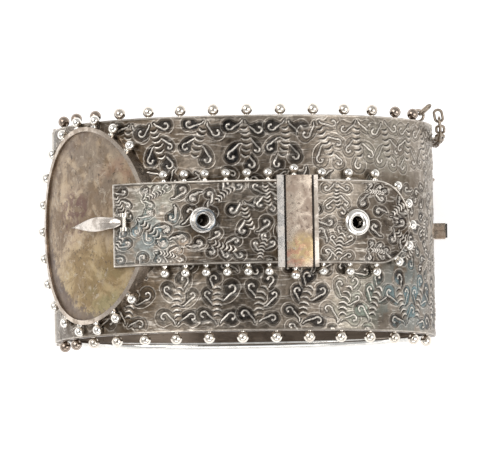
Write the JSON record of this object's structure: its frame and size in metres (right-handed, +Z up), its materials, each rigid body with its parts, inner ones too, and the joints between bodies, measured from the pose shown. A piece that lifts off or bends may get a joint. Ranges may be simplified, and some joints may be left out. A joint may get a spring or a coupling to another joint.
{
  "type": "hinged buckle bangle",
  "caption": "Oval hinged cuff bangle worked as a beaded belt and buckle, with a lifting prong, keeper, eyelets, box clasp with a ribbed thumb-piece and a safety chain.",
  "frame": {"origin": "on the surface that the bangle lies on, under the middle of its outline", "axes": "+X across the wrist opening from the hinge to the clasp, +Y along the wrist, +Z up through the decorated face"},
  "size_m": [0.0694, 0.0408, 0.0578],
  "materials": {
    "engraved_silver": "engraved, oxidised",
    "plain_silver": "worn satin",
    "bright_silver": "polished",
    "gilt_silver": "mottled, lightly gilt",
    "dark_silver": "tarnished"
  },
  "bodies": {
    "back_half": {"back_band": "plain_silver", "back_rim_near": "bright_silver", "back_rim_far": "bright_silver", "back_knuckles": "plain_silver", "hinge_pin": "plain_silver", "clasp_tongue": "plain_silver", "back_chain_loop": "bright_silver"},
    "front_half": {"front_band": "engraved_silver", "front_knuckles": "plain_silver", "far_edge_beads": "bright_silver", "near_edge_beads": "bright_silver", "buckle_plate": "gilt_silver", "buckle_bezel": "bright_silver", "buckle_beads": "bright_silver", "strap": "engraved_silver", "strap_beads": "bright_silver", "strap_keeper": "gilt_silver", "keeper_beads": "bright_silver", "eyelet_left": "bright_silver", "eyelet_right": "bright_silver", "prong_bar": "bright_silver", "clasp_box": "plain_silver", "front_chain_loop": "bright_silver", "front_jump_ring": "bright_silver"},
    "prong_leaf": {"prong": "bright_silver"},
    "thumb_catch": {"spring_leaf": "plain_silver", "thumb_piece": "dark_silver", "thumb_end_plate": "dark_silver"},
    "safety_chain": {"chain_links": "bright_silver"}
  },
  "joints": [
    {"name": "main_hinge", "type": "hinge", "parent": "back_half", "child": "front_half", "pos_m": [-0.03155, 0, 0.0272], "axis": [0, -1, 0], "range_deg": [0, 25]},
    {"name": "prong_lift", "type": "hinge", "parent": "front_half", "child": "prong_leaf", "pos_m": [-0.02, 0, 0.05352], "axis": [0, 1, 0], "range_deg": [0, 60]},
    {"name": "thumb_press", "type": "slide", "parent": "back_half", "child": "thumb_catch", "axis": [-1, 0, 0], "range_m": [0, 0.0006], "stiffness_N_per_m": 400},
    {"name": "chain_swing", "type": "hinge", "parent": "back_half", "child": "safety_chain", "pos_m": [0.0315, 0.0095, 0.0187], "axis": [0, 1, 0], "range_deg": [0, 15]}
  ]
}
